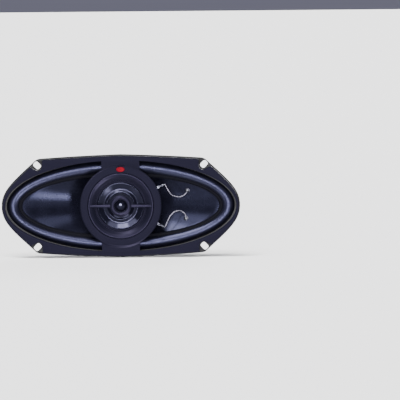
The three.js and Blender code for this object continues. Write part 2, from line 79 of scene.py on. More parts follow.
def addCamera():
    data = bpy.data.cameras.new("camera")
    data.sensor_width = view["sensor"]
    data.lens = view["sensor"] * view["distance"] / view["width"]
    data.clip_end = view["farthest"]
    camera = bpy.data.objects.new("camera", data)
    bpy.context.scene.collection.objects.link(camera)
    tilt = math.radians(view["elevation"])
    away = Vector((0, -math.cos(tilt), math.sin(tilt))) * view["distance"] * mm
    camera.location = at(*view["aim"]) + away
    turn = Euler((math.pi / 2 - tilt, 0, 0)).to_matrix()
    camera.rotation_euler = (turn @ Matrix.Rotation(math.radians(view["roll"]), 3, "Z")).to_euler()
    bpy.context.scene.camera = camera


stageLook = {
    "floorSide": 60.0,          # metres
    "floorGap": 0.0002,         # metres between the speaker and the floor
    "floorColour": "#b6b6b6",
    "floorRoughness": 0.9,
    "world": "#b0b0c8",
    "worldStrength": 0.35,
}
lamps = {
    # name: strength, spread in degrees (a wide soft source), and where it stands
    "overhead": (11.0, 26.0, (-0.3, -0.4, 1.0)),
    "upperFront": (5.4, 20.0, (-0.08, -0.76, 0.6)),
    "upperLeft": (2.6, 26.0, (-0.36, -0.74, 0.58)),
    "upperRight": (2.0, 26.0, (0.24, -0.7, 0.64)),
    "behind": (3.0, 30.0, (0.3, 1.0, 0.3)),
    "front": (7.5, 13.0, (-0.04, -1.0, 0.06)),
    # the three from below stand for the lit table in front of the speaker, and pass through the floor
    "tableRight": (9.0, 12.0, (0.39, -0.73, -0.5)),
    "tableLeft": (2.6, 12.0, (-0.46, -0.73, -0.5)),
    "tableBelow": (3.0, 18.0, (0.0, -0.6, -0.9)),
}


def linear(hexText):
    parts = [int(hexText[i:i + 2], 16) / 255 for i in (1, 3, 5)]
    return [*(p / 12.92 if p <= 0.04045 else ((p + 0.055) / 1.055) ** 2.4 for p in parts), 1.0]


def addNode(tree, kind, links=None, values=None, **settings):
    node = tree.nodes.new(kind)
    for key, value in settings.items():
        setattr(node, key, value)
    for socket, value in (values or {}).items():
        node.inputs[socket].default_value = value
    for socket, source in (links or {}).items():
        tree.links.new(source, node.inputs[socket])
    return node


def addStage():
    scene = bpy.context.scene
    world = bpy.data.worlds.new("studioAir")
    world.use_nodes = True
    background = world.node_tree.nodes["Background"]
    background.inputs["Color"].default_value = linear(stageLook["world"])
    background.inputs["Strength"].default_value = stageLook["worldStrength"]
    scene.world = world
    bpy.ops.object.select_all(action="DESELECT")
    bpy.ops.mesh.primitive_plane_add(
        size=stageLook["floorSide"], location=(0, 0, cadBounds[0].z - stageLook["floorGap"]))
    floor = bpy.context.object
    floor.name = "studioFloor"
    paper = bpy.data.materials.new("mattPaper")
    paper.use_nodes = True
    shader = paper.node_tree.nodes["Principled BSDF"]
    shader.inputs["Base Color"].default_value = linear(stageLook["floorColour"])
    shader.inputs["Roughness"].default_value = stageLook["floorRoughness"]
    floor.data.materials.append(paper)
    floor.visible_shadow = False
    for name, (strength, spread, place) in lamps.items():
        sun = bpy.data.lights.new(name, "SUN")
        sun.energy = strength
        sun.angle = math.radians(spread)
        lamp = bpy.data.objects.new(name, sun)
        lamp.rotation_euler = Vector(place).to_track_quat("Z", "Y").to_euler()
        scene.collection.objects.link(lamp)


addCamera()
addStage()
print("camera and stage set")


def freshStart():
    if bpy.context.object and bpy.context.object.mode != "OBJECT":
        bpy.ops.object.mode_set(mode="OBJECT")
    bpy.ops.object.select_all(action="DESELECT")


def chooseOnly(piece):
    freshStart()
    piece.select_set(True)
    bpy.context.view_layer.objects.active = piece


def settle(piece):
    # bakes the object's place into its mesh, as the frame's own nodes have it
    chooseOnly(piece)
    bpy.ops.object.transform_apply(location=True, rotation=True, scale=True)


def moved(piece, x, forward, z):
    piece.location = at(x, forward, z)
    settle(piece)
    return piece


def outwards(piece):
    chooseOnly(piece)
    bpy.ops.object.mode_set(mode="EDIT")
    bpy.ops.mesh.select_all(action="SELECT")
    bpy.ops.mesh.remove_doubles(threshold=1e-6)
    bpy.ops.mesh.normals_make_consistent(inside=False)
    bpy.ops.object.mode_set(mode="OBJECT")


def apply(piece, kind, **settings):
    chooseOnly(piece)
    modifier = piece.modifiers.new(kind.lower(), kind)
    for key, value in settings.items():
        setattr(modifier, key, value)
    bpy.ops.object.modifier_apply(modifier=modifier.name)


def combine(piece, tool, operation="DIFFERENCE"):
    apply(piece, "BOOLEAN", object=tool, operation=operation, solver="EXACT")
    bpy.data.objects.remove(tool)


def copyTo(piece, name, matrix):
    chooseOnly(piece)
    bpy.ops.object.duplicate(linked=False)
    copy = bpy.context.object
    copy.name = name
    copy.matrix_world = matrix @ copy.matrix_world
    settle(copy)
    return copy


def join(piece, *others):
    chooseOnly(piece)
    for other in others:
        other.select_set(True)
    bpy.ops.object.join()
    return piece


def softCorners(points, radius, steps=3, closed=True):
    # Rounds each corner of a profile with a short curve no longer than the sides allow.
    count = len(points)
    out = []
    for i, point in enumerate(points):
        here = Vector(point)
        if not closed and i in (0, count - 1):
            out.append(tuple(here))
            continue
        before, after = Vector(points[i - 1]), Vector(points[(i + 1) % count])
        cut = min(radius, (before - here).length * 0.45, (after - here).length * 0.45)
        start = here + (before - here).normalized() * cut
        end = here + (after - here).normalized() * cut
        for step in range(steps + 1):
            t = step / steps
            out.append(tuple(start * (1 - t) ** 2 + here * 2 * t * (1 - t) + end * t * t))
    return out


def turnRings(name, rings, sides=128):
    # A circle, extruded and resized from ring to ring: (half length, half height, forward).
    # A ring of no size closes the shape on the axis, and a last ring like the first closes it as a hoop.
    freshStart()
    startsClosed = rings[0][0] == 0
    first = rings[1] if startsClosed else rings[0]
    bpy.ops.mesh.primitive_circle_add(
        vertices=sides, radius=mm, fill_type="TRIFAN" if startsClosed else "NOTHING",
        location=at(0, first[2], 0), rotation=(math.pi / 2, 0, 0))
    piece = bpy.context.object
    piece.name = name
    piece.scale = (first[0], first[1], 1)
    settle(piece)
    for vertex in piece.data.vertices:
        if vertex.co.x ** 2 + vertex.co.z ** 2 < 1e-12:
            vertex.co.y = -rings[0][2] * mm
    bpy.ops.object.mode_set(mode="EDIT")
    bpy.ops.mesh.select_mode(type="EDGE")
    bpy.ops.mesh.select_all(action="SELECT")
    if startsClosed:
        bpy.ops.mesh.region_to_loop()
    a, b, forward = first
    for nextA, nextB, nextForward in rings[2 if startsClosed else 1:]:
        bpy.ops.mesh.extrude_edges_move(
            TRANSFORM_OT_translate={"value": (0, (forward - nextForward) * mm, 0)})
        if nextA == 0:
            bpy.ops.mesh.merge(type="CENTER")
            break
        bpy.ops.transform.resize(
            value=(nextA / a, 1, nextB / b), center_override=(0, -nextForward * mm, 0))
        a, b, forward = nextA, nextB, nextForward
    bpy.ops.object.mode_set(mode="OBJECT")
    outwards(piece)
    return piece


def hoop(name, profile, baseA=0.0, baseB=0.0, radius=0.0, sides=128):
    # A closed section of (outward, forward) points carried round an oval or, with no base, a circle.
    section = softCorners(profile, radius) if radius else list(profile)
    rings = [(baseA + out, baseB + out, forward) for out, forward in section]
    return turnRings(name, [*rings, rings[0]], sides)


def turned(name, profile, radius=0.0, sides=96):
    # An open profile from the axis to the axis.
    section = softCorners(profile, radius, closed=False) if radius else list(profile)
    return turnRings(name, [(out, out, forward) for out, forward in section], sides)


def extrudeOutline(name, points, back, front):
    # An outline of (x, z) points, filled and pulled forward: the tool for openings.
    freshStart()
    bpy.ops.mesh.primitive_circle_add(vertices=len(points), radius=mm, fill_type="NGON")
    piece = bpy.context.object
    piece.name = name
    for vertex, (x, z) in zip(piece.data.vertices, points):
        vertex.co = at(x, back, z)
    bpy.ops.object.mode_set(mode="EDIT")
    bpy.ops.mesh.select_all(action="SELECT")
    bpy.ops.mesh.extrude_region_move(
        TRANSFORM_OT_translate={"value": (0, (back - front) * mm, 0)})
    bpy.ops.object.mode_set(mode="OBJECT")
    outwards(piece)
    return piece


def drawn(name, dimensions, paths, closed, **settings):
    # A curve of straight runs through the points, with the given thickness, made a mesh.
    freshStart()
    data = bpy.data.curves.new(name, "CURVE")
    data.dimensions = dimensions
    for key, value in settings.items():
        setattr(data, key, value)
    for path in paths:
        spline = data.splines.new("POLY")
        spline.points.add(len(path) - 1)
        spline.use_cyclic_u = closed
        for point, place in zip(spline.points, path):
            point.co = (*place, 1)
    curve = bpy.data.objects.new(name, data)
    bpy.context.scene.collection.objects.link(curve)
    chooseOnly(curve)
    bpy.ops.object.convert(target="MESH")
    return bpy.context.object


def stamped(name, loops, back, front, edge=0.2, steps=2):
    # A flat outline with holes, thickened and given rounded edges, then stood upright.
    paths = [[(x * mm, z * mm, 0) for x, z in loop] for loop in loops]
    piece = drawn(name, "2D", paths, True, fill_mode="BOTH", extrude=((front - back) / 2 - edge) * mm,
                  bevel_depth=edge * mm, bevel_resolution=steps, offset=-edge * mm)
    piece.rotation_euler = (math.pi / 2, 0, 0)
    piece.location = at(0, (front + back) / 2, 0)
    settle(piece)
    outwards(piece)
    return piece


def roundedBlock(name, low, high, radius, along="y", steps=3):
    # A block between two corners, with the edges that run one way rounded.
    freshStart()
    low, high = Vector(low) * mm, Vector(high) * mm
    bpy.ops.mesh.primitive_cube_add(size=1, location=(low + high) / 2)
    piece = bpy.context.object
    piece.name = name
    piece.scale = high - low
    settle(piece)
    axis = "xyz".index(along)
    bpy.ops.object.mode_set(mode="EDIT")
    bpy.ops.mesh.select_mode(type="EDGE")
    bpy.ops.mesh.select_all(action="DESELECT")
    bpy.ops.object.mode_set(mode="OBJECT")
    for edge in piece.data.edges:
        first, second = (piece.data.vertices[i].co for i in edge.vertices)
        edge.select = abs(first[axis] - second[axis]) > 1e-7
    bpy.ops.object.mode_set(mode="EDIT")
    bpy.ops.mesh.bevel(offset=radius * mm, segments=steps, affect="EDGES")
    bpy.ops.object.mode_set(mode="OBJECT")
    return piece


def softEdges(piece, width, steps=2, degrees=40):
    apply(piece, "BEVEL", width=width * mm, segments=steps, limit_method="ANGLE",
          angle_limit=math.radians(degrees), use_clamp_overlap=True)
    return piece


def wires(name, paths, radius, steps=2):
    # Round wires along lists of points, with closed ends.
    piece = drawn(name, "3D", paths, False, bevel_depth=radius * mm, bevel_resolution=steps, use_fill_caps=True)
    outwards(piece)
    return piece


def finishPiece(piece, body, slot, nodes=(), angle=32, look=None):
    chooseOnly(piece)
    bpy.ops.object.shade_smooth_by_angle(angle=math.radians(angle))
    piece.data.materials.clear()
    piece.data.materials.append(look or looks[slot])
    if body:
        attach(piece, body)
    if nodes:
        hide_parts(*nodes)
    return piece


def blendBy(piece, share):
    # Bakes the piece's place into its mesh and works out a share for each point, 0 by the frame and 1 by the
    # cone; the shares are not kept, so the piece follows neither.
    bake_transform(piece)
    weights = [min(max(share(v.co.x / mm, v.co.z / mm), 0), 1) for v in piece.data.vertices]


def surface(name, pale, dark, patch, rough, grain, height, shine=None, stretch=(1, 1, 1), weave=0.0,
            rings=0.0, cells=0.0):
    # Colour wanders between two tones over patches, gloss varies over the same patches, and a finer grain
    # lifts the surface. Patches, grain, threads, rings and cells are sizes in mm; height is in mm too.
    material = bpy.data.materials.new(name)
    material.use_nodes = True
    tree = material.node_tree
    shader = tree.nodes["Principled BSDF"]
    for socket, value in (shine or {}).items():
        shader.inputs[socket].default_value = value
    place = addNode(tree, "ShaderNodeTexCoord").outputs["Object"]
    stretched = addNode(tree, "ShaderNodeMapping", {"Vector": place}, {"Scale": stretch}).outputs["Vector"]
    patches = addNode(tree, "ShaderNodeTexNoise", {"Vector": stretched},
            {"Scale": 1 / (patch * mm), "Detail": 4.0}).outputs["Fac"]
    fine = addNode(tree, "ShaderNodeTexNoise", {"Vector": stretched},
            {"Scale": 1 / (grain * mm), "Detail": 2.0}).outputs["Fac"]
    both = addNode(tree, "ShaderNodeMath", {0: patches, 1: fine}, operation="ADD").outputs["Value"]
    tone = addNode(tree, "ShaderNodeMapRange", {"Value": both}, {"From Min": 0.75, "From Max": 1.25})
    colour = addNode(tree, "ShaderNodeMix", {0: tone.outputs["Result"]}, {6: linear(dark), 7: linear(pale)},
            data_type="RGBA")
    tree.links.new(colour.outputs[2], shader.inputs["Base Color"])
    gloss = addNode(tree, "ShaderNodeMapRange", {"Value": patches},
            {"From Min": 0.3, "From Max": 0.7, "To Min": rough[0], "To Max": rough[1]})
    tree.links.new(gloss.outputs["Result"], shader.inputs["Roughness"])
    lift = addNode(tree, "ShaderNodeBump", {"Height": fine}, {"Distance": height * mm}).outputs["Normal"]
    if weave:
        threads = [addNode(tree, "ShaderNodeTexWave", {"Vector": place}, {"Scale": math.pi / (10 * weave * mm)},
                bands_direction=way).outputs["Fac"] for way in "XZ"]
        cross = addNode(tree, "ShaderNodeMath", dict(enumerate(threads)), operation="MAXIMUM").outputs["Value"]
        lift = addNode(tree, "ShaderNodeBump", {"Height": cross, "Normal": lift},
                {"Distance": weave * 0.25 * mm}).outputs["Normal"]
    if rings:
        cut = addNode(tree, "ShaderNodeTexWave", {"Vector": place},
                {"Scale": math.pi / (10 * rings * mm), "Distortion": 0.4, "Detail": 1.0},
                wave_type="RINGS", rings_direction="Y").outputs["Fac"]
        lift = addNode(tree, "ShaderNodeBump", {"Height": cut, "Normal": lift},
                {"Distance": rings * 0.02 * mm}).outputs["Normal"]
    if cells:
        foam = addNode(tree, "ShaderNodeTexVoronoi", {"Vector": place}, {"Scale": 1 / (cells * mm)})
        lift = addNode(tree, "ShaderNodeBump", {"Height": foam.outputs["Distance"], "Normal": lift},
                {"Distance": cells * 0.06 * mm}).outputs["Normal"]
    tree.links.new(lift, shader.inputs["Normal"])
    return material


# Colours and specular levels are set lower than the real ones, because the stage's lamps are strong.
looks = {
    # ABS, injection moulded in a spark-eroded tool: satin blue-black with a very fine grain, drawn coarse
    "blue_black_plastic": surface(
        "mouldedAbs", "#05050a", "#040408", 18, (0.5, 0.6), 0.6, 0.012,
        {"IOR": 1.53, "Specular IOR Level": 0.028, "Specular Tint": linear("#c0b4ec")}),
    # deep-drawn steel, dip-coated black: even half gloss with a slight orange peel
    "black_steel": surface(
        "dipCoatedSteel", "#0a0a0c", "#070709", 25, (0.36, 0.46), 1.2, 0.01,
        {"IOR": 1.5, "Specular IOR Level": 0.05}),
    # enamel flowed into a shallow cup and fired: one even red with a soft gloss
    "red_enamel": surface(
        "flowedEnamel", "#400208", "#360106", 6, (0.4, 0.46), 2.0, 0.004,
        {"IOR": 1.5, "Specular IOR Level": 0.01}),
    # pressed cellulose board, dyed through: matt and fibrous
    "card": surface("pressedCard", "#0c0c0f", "#08080a", 4, (0.85, 0.95), 0.5, 0.05, stretch=(1, 1, 3)),
    # polyurethane foam sheet, pressed hot: closed skin over fine cells, drawn coarse, with a soft sheen
    "foam": surface(
        "pressedPolyurethaneFoam", "#06060b", "#040408", 9, (0.3, 0.36), 0.9, 0.06,
        {"IOR": 1.5, "Specular IOR Level": 0.2, "Specular Tint": linear("#b8baf6")}, cells=1.6),
    # polypropylene with mica, moulded smooth: half gloss, a little uneven where it flowed
    "cone_film": surface(
        "mouldedMicaPolypropylene", "#040408", "#030306", 22, (0.2, 0.27), 3.0, 0.006,
        {"IOR": 1.5, "Specular IOR Level": 0.09, "Specular Tint": linear("#b4b8f4")}),
    # polyimide film wound into a tube: amber and slightly glossy
    "coil_former": surface(
        "woundPolyimideFilm", "#84541a", "#704614", 8, (0.3, 0.4), 0.8, 0.004,
        {"IOR": 1.7}),
    # round copper wire in clear varnish: bright orange lines with dark gaps
    "copper": surface(
        "varnishedCopperWire", "#96502a", "#7c3c1c", 3, (0.22, 0.32), 0.4, 0.003,
        {"Metallic": 1.0}),
    # cotton cloth dipped in phenolic resin and pressed: stiff amber weave, matt
    "spider_cloth": surface(
        "resinDippedCotton", "#926f38", "#785727", 7, (0.75, 0.9), 0.7, 0.03,
        {"IOR": 1.5}, weave=0.9),
    # cold-rolled steel, turned and zinc plated: pale grey with a faint yellow cast and fine turned rings
    "zinc_steel": surface(
        "zincPlatedSteel", "#92908a", "#7a7873", 12, (0.28, 0.42), 1.0, 0.004,
        {"Metallic": 1.0}, rings=0.7),
    # fired strontium ferrite, ground flat: dark grey, matt, with small pits
    "ferrite": surface(
        "groundFerrite", "#1c1b1f", "#131215", 10, (0.55, 0.7), 0.8, 0.03,
        {"IOR": 2.3, "Specular IOR Level": 0.08}),
    # polyetherimide film, hot formed and lacquered: black glass look
    "tweeter_film": surface(
        "lacqueredPolyetherimide", "#040408", "#030306", 8, (0.09, 0.13), 1.5, 0.002,
        {"IOR": 1.65, "Specular IOR Level": 0.085, "Specular Tint": linear("#ccccff")}),
    # shrunk PVC sleeve: plain half-gloss blue
    "capacitor_sleeve": surface(
        "shrunkPvcSleeve", "#1a3464", "#132850", 5, (0.3, 0.38), 1.0, 0.006,
        {"IOR": 1.53}),
    # brass strip, tin plated: pale warm metal
    "brass": surface("tinnedBrass", "#998a66", "#84724a", 3, (0.25, 0.38), 0.5, 0.004, {"Metallic": 1.0}),
    # tinsel wire, copper foil plaited over thread: soft silvery plait
    "tinsel": surface("plaitedTinsel", "#62606a", "#33323a", 1.2, (0.3, 0.42), 0.4, 0.01, {"Metallic": 0.9}),
    # paper laminate in phenolic resin: brown with a faint linen face
    "board": surface(
        "phenolicPaperBoard", "#4d2f1a", "#3c220f", 4, (0.5, 0.62), 0.5, 0.01,
        {"IOR": 1.6}, weave=0.6),
}
# tin-lead solder, flowed: bright smooth blobs
solder = surface("flowedSolder", "#5c5d64", "#46474e", 2, (0.2, 0.34), 0.6, 0.004, {"Metallic": 1.0})
# the same ABS moulded in a polished tool: shows the lamps as soft bright bands
polishedAbs = surface(
    "polishedAbs", "#05050a", "#040408", 18, (0.3, 0.38), 0.6, 0.006,
    {"IOR": 1.53, "Specular IOR Level": 0.045, "Specular Tint": linear("#c0b4ec")})
# rubber cement, brushed on and dried: nearly black, dull, a little uneven
driedCement = surface(
    "driedRubberCement", "#040407", "#020204", 4, (0.6, 0.75), 1.0, 0.05,
    {"IOR": 1.5, "Specular IOR Level": 0.015})
# brass eyelet, blackened with nickel: dark metal with small sharp glints
darkNickel = surface(
    "blackNickelledBrass", "#34343c", "#26262c", 2, (0.24, 0.34), 0.5, 0.003,
    {"Metallic": 1.0})
print("materials made:", len(looks) + 4)


outlineShape = {"halfLength": 131.2, "halfHeight": 56.6, "corner": (91.4, 52.15)}
quadrants = ((1, 1), (-1, 1), (-1, -1), (1, -1))
screwSlot = {"x": 91.75, "z": 45.0, "width": 6.2, "length": 8.2, "corner": 2.4}
stake = {"x": 62.0, "z": 50.5, "radius": 1.9}
strip = {"x": 80.0, "slope": math.atan2(21.1, 69.5), "gap": 0.3, "sheet": 1.6, "halfLength": 6.0,
         "halfHeight": 15.0, "tabFrom": -6.3, "tabTo": 14.0, "tabSheet": 0.8}    # the terminals' board
basket = {
    "thickness": 1.0,
    "wallA": 116.9, "wallB": 43.9,
    "shelf": -27.6, "seat": -35.6, "bore": 17.0,
    "bend": 2.2,                # radius of the pressed bends
    "windowA": 105.0, "windowB": 35.8, "windowStart": 52.0,
    "spokeHalf": 7.5, "windowCorner": 4.0,
    "sideFrom": 9.0, "sideTo": 35.0, "sideBack": -24.0, "sideFront": -9.0,
}


def bezier(points, steps):
    # A curve through its control points, without its last point.
    out = []
    for i in range(steps):
        t = i / steps
        line = [Vector(p) for p in points]
        while len(line) > 1:
            line = [p.lerp(q, t) for p, q in zip(line, line[1:])]
        out.append(tuple(line[0]))
    return out


def around(a, b, steps=24, start=0.0, end=360.0):
    # Points along an ellipse from one angle to another, both ends included.
    angles = [math.radians(start + (end - start) * i / steps) for i in range(steps + 1)]
    return [(a * math.cos(t), b * math.sin(t)) for t in angles]


def circle(x, z, radius, steps=32):
    return [(x + px, z + pz) for px, pz in around(radius, radius, steps)[:-1]]


def outline(inset):
    # Long edges that fall slightly from the middle, small corners, slanted sides and blunt round ends.
    length, height = outlineShape["halfLength"], outlineShape["halfHeight"]
    cornerX, cornerZ = outlineShape["corner"]
    cornerStart, cornerEnd = (cornerX - 3.4, cornerZ + 0.25), (cornerX + 2.5, cornerZ - 1.95)
    quarter = [
        *bezier([(0, height), (46, height - 1.2), cornerStart], 16),
        *bezier([cornerStart, (cornerX, cornerZ), cornerEnd], 8),
        *bezier([cornerEnd, (118, 28), (length, 18), (length, 0)], 32),
    ]
    half = quarter + [(x, -z) for x, z in [(length, 0), *reversed(quarter[1:])]]
    loop = half + [(-x, -z) for x, z in half]
    shrunk = []
    for i, (x, z) in enumerate(loop):
        before, after = loop[i - 1], loop[(i + 1) % len(loop)]
        along = (Vector(after) - Vector(before)).normalized()
        shrunk.append((x + along.y * inset, z - along.x * inset))
    return shrunk


def slotOutline(signX, signZ):
    halfLength, halfWidth = screwSlot["length"] / 2, screwSlot["width"] / 2
    loop = softCorners([(halfLength, -halfWidth), (halfLength, halfWidth), (-halfLength, halfWidth),
            (-halfLength, -halfWidth)], screwSlot["corner"], 6)
    turn = math.atan2(signZ, signX)
    return [(signX * screwSlot["x"] + x * math.cos(turn) - z * math.sin(turn),
             signZ * screwSlot["z"] + x * math.sin(turn) + z * math.cos(turn)) for x, z in loop]


def endWindow(signX, signZ):
    # Between two spokes: inside an oval, beyond the shelf, and clear of the middle spoke.
    a, b, start, half = (basket[k] for k in ("windowA", "windowB", "windowStart", "spokeHalf"))
    low = math.degrees(math.asin(half / b))
    high = math.degrees(math.acos(start / a))
    curve = around(a, b, 24, low, high)
    corner = basket["windowCorner"]
    loop = [(start + corner, half), (curve[0][0] - corner * 1.6, half), *curve[3:-1],
            (start, curve[-1][1] - corner * 0.6), (start, half + corner)]
    return [(signX * x, signZ * z) for x, z in softCorners(loop, 1.2, 3)]


def makeBasket():
    sheet, a, b = basket["thickness"], basket["wallA"], basket["wallB"]
    shelf, seat, bore = basket["shelf"], basket["seat"], basket["bore"]
    flat = stamped("pressedBasket", [
        outline(0), around(a - sheet + 0.3, b - sheet + 0.3, 192)[:-1],
        *(slotOutline(*signs) for signs in quadrants),
        *(circle(signX * stake["x"], signZ * stake["z"], stake["radius"], 20) for signX, signZ in quadrants),
    ], 0, sheet, 0.2)
    rings = [
        (a, b, 0.5), (113.5, 42.3, -7.5), (44, 37.6, shelf - sheet), (30, 30, shelf - sheet),
        (29, 29, seat - sheet), (bore, bore, seat - sheet), (bore, bore, seat), (28, 28, seat), (29, 29, shelf),
        (43.6, 36.6, shelf), (112.3, 41.2, -6.7), (a - sheet, b - sheet, 0.5),
    ]
    rings = softCorners(rings, basket["bend"], 4)
    bowl = turnRings("bowl", [*rings, rings[0]], 192)
    for signs in quadrants:
        combine(bowl, extrudeOutline("endWindow", endWindow(*signs), shelf - 4, -2))
        x = sorted((signs[0] * basket["sideFrom"], signs[0] * basket["sideTo"]))
        z = sorted((signs[1] * 30, signs[1] * 60))
        combine(bowl, roundedBlock("sideWindow", (x[0], -basket["sideFront"], z[0]),
                (x[1], -basket["sideBack"], z[1]), 3.0, "z"))
    combine(flat, bowl, "UNION")
    rivetHole = turned("rivetHole", [(0, -24), (1.9, -24), (1.9, -12), (0, -12)], sides=24)
    combine(flat, moved(rivetHole, strip["x"], 0, 0))
    return finishPiece(flat, "frame", "black_steel", ["basket"])


makeBasket()
print("basket made")


trim = {
    "inset": 1.6,           # how much black flange shows round it
    "base": 1.3, "front": 15.0,
    "openA": 127.0, "openB": 50.0,
    "rebateA": 128.1, "rebateB": 52.4, "rebate": 3.7,
    "armHalf": 21.0, "armBack": 8.8, "fillet": 4.0,
    "footRadius": 44.8, "podRadius": 43.5, "podBevel": 2.5, "podFront": 13.5, "holeRadius": 36.3,
    "step": 2.1,            # slope from the arms' face down to the pod's ring
    "lip": 0.35,            # thin edge left standing inside the opening
    "edge": 0.5,            # rounding of every moulded edge
    "postRadius": 1.6,
}


def inside(point, loop):
    x, z = point
    found = False
    for (ax, az), (bx, bz) in zip(loop, loop[1:] + loop[:1]):
        if (az > z) != (bz > z) and x < ax + (z - az) * (bx - ax) / (bz - az):
            found = not found
    return found


def notched(loop):
    # Takes a scallop out of each corner, so that the ear under it is bare.
    for signX, signZ in quadrants:
        path = [(-5.6, 14), (-5.6, 7), *bezier([(-5.6, 0.5), (-5.6, -5.6), (-0.5, -5.9)], 10), (-0.5, -5.9),
                *bezier([(-0.5, -5.9), (6.6, -2.2)], 4)[1:], *bezier([(6.6, -2.2), (18, 3.5)], 8), (18, 3.5)]
        path = [(signX * (x + screwSlot["x"]), signZ * (z + screwSlot["z"])) for x, z in path]
        tool = [*path, (signX * (screwSlot["x"] + 18), signZ * (screwSlot["z"] + 14))]
        bare = [inside(p, tool) for p in loop]
        start = next(i for i in range(len(loop)) if bare[i - 1] and not bare[i])
        rest = [p for p in loop[start:] + loop[:start] if not inside(p, tool)]
        within = [inside(p, loop) for p in path]
        cut = [p for p, kept in zip(path, within) if kept]
        for i in (within.index(True), len(within) - 1 - within[::-1].index(True)):
            step = -1 if i == within.index(True) else 1
            held, out = Vector(path[i]), Vector(path[i + step])
            for _ in range(24):
                middle = (held + out) / 2
                held, out = (middle, out) if inside(tuple(middle), loop) else (held, middle)
            cut = [tuple(held), *cut] if step < 0 else [*cut, tuple(held)]
        if (Vector(cut[0]) - Vector(rest[-1])).length > (Vector(cut[-1]) - Vector(rest[-1])).length:
            cut.reverse()
        loop = rest + cut
    return loop


def crescent(side):
    # One of the two windows: the oval's end, an arm's straight sides, their fillets and the pod's foot.
    a, b, half, foot, fillet = (trim[k] for k in ("openA", "openB", "armHalf", "footRadius", "fillet"))
    start = math.degrees(math.acos(half / a))
    oval = around(a, b, 128, -start, start)
    centreX = half + fillet
    centreZ = math.sqrt((foot + fillet) ** 2 - centreX ** 2)
    turnTo = math.degrees(math.atan2(-centreZ, -centreX)) + 360
    bend = [(centreX + x, centreZ + z) for x, z in around(fillet, fillet, 8, 180, turnTo)]
    angle = math.degrees(math.atan2(centreZ, centreX))
    pod = around(foot, foot, 48, angle, -angle)[1:-1]
    loop = oval + bend + pod + [(x, -z) for x, z in reversed(bend)]
    return [(side * x, z) for x, z in loop]


def paintFaces(piece, look, where):
    piece.data.materials.append(look)
    for face in piece.data.polygons:
        if where(face.center, face.normal):
            face.material_index = 1


def makeTrim():
    front, foot, hole, base = trim["front"], trim["footRadius"], trim["holeRadius"], trim["base"]
    piece = stamped("trimBridge", [notched(outline(trim["inset"])), crescent(1), crescent(-1),
            circle(0, 0, foot - 3.8, 96)], base, front, trim["edge"], 3)
    a, b, lip = trim["openA"], trim["openB"], trim["lip"]
    for ringA, ringB, top in ((a + lip, b + lip, trim["armBack"]),
            (trim["rebateA"], trim["rebateB"], trim["rebate"])):
        combine(piece, turnRings(
            "under", [(0, 0, -2), (ringA, ringB, -2), (ringA, ringB, top), (0, 0, top)], 192))
    pod, top = trim["podRadius"], trim["podFront"]
    sink = turned("sink", [(0, top), (pod + 0.1, top), (pod + 0.5, top + 0.15),
            (pod + trim["step"], front - 0.2), (pod + trim["step"] + 1.2, front + 0.6),
            (0, front + 0.6)], sides=160)
    combine(piece, sink)
    ring = hoop("podRing", [
        (hole - 1.3, 8.7), (foot - 2.8, 8.7), (foot - 2.8, 9.6), (foot - 0.1, top - trim["podBevel"] - 0.2),
        (foot - 0.15, top - trim["podBevel"]), (pod, top + 0.01), (hole, top + 0.01), (hole, 10.0),
        (hole - 1.3, 10.0)], radius=0.45, sides=160)
    combine(piece, ring, "UNION")
    for signX, signZ in quadrants:
        post = turned("post", [(0, 0.1), (trim["postRadius"], 0.1), (trim["postRadius"], base + 1),
                (0, base + 1)], sides=24)
        combine(piece, moved(post, signX * stake["x"], 0, signZ * stake["z"]), "UNION")
    finishPiece(piece, "frame", "blue_black_plastic", ["trim_bridge"], 36)
    paintFaces(piece, polishedAbs, lambda spot, facing: facing.y > -0.95 and -spot.y / mm > top
               and pod < math.hypot(spot.x, spot.z) / mm < pod + trim["step"] + 0.2)


makeTrim()
print("trim made")

badge = {"z": 40.2, "halfWidth": 4.6, "halfHeight": 2.7, "back": 13.45, "front": 15.2, "dome": 0.7}


def makeBadge():
    loop = [(x, z + badge["z"]) for x, z in around(badge["halfWidth"], badge["halfHeight"], 48)[:-1]]
    piece = stamped("enamelBadge", [loop], badge["back"], badge["front"], badge["dome"], 5)
    return finishPiece(piece, "frame", "red_enamel", ["badge"], 60)


makeBadge()
print("badge made")


roll = {"a": 118.5, "b": 42.8, "half": 6.3, "height": 5.0, "sheet": 0.7, "lip": 9.2, "base": 1.3, "sides": 192}


def ovalOffset(x, z):
    # How far outside the roll's middle line a point is, in the terms of its ovals.
    low, high = -30.0, 30.0
    for _ in range(24):
        mid = (low + high) / 2
        outside = (x / (roll["a"] + mid)) ** 2 + (z / (roll["b"] + mid)) ** 2 > 1
        low, high = (mid, high) if outside else (low, mid)
    return low


def makeSurround():
    half, height, sheet, lip, base = (roll[k] for k in ("half", "height", "sheet", "lip", "base"))
    outer = [(-half * math.cos(t), base + height * math.sin(t)) for t in
             (math.radians(12 + 156 * i / 20) for i in range(21))]
    inner = [(-(half - sheet) * math.cos(t), base + (height - sheet) * math.sin(t)) for t in
             (math.radians(176 - 172 * i / 16) for i in range(17))]
    profile = [(-lip, base + sheet), (-half - 0.3, base + sheet), *outer, (half + 0.3, base + sheet),
               (lip, base + sheet), (lip, base), *inner, (-lip, base)]
    piece = hoop("surroundRoll", profile, roll["a"], roll["b"], sides=roll["sides"])
    finishPiece(piece, None, "foam", ["surround"], 50)
    paintFaces(piece, driedCement, lambda spot, facing: -spot.y / mm < base + sheet + 0.2)
    blendBy(piece, lambda x, z: (half - ovalOffset(x, z)) / (2 * half))


makeSurround()
gasket = hoop("surroundGasket", [(6.9, 2.0), (roll["lip"], 2.0), (roll["lip"], 3.5), (6.9, 3.5)],
        roll["a"], roll["b"], 0.25, roll["sides"])
finishPiece(gasket, "frame", "card", ["surround_gasket"])
print("surround and gasket made")

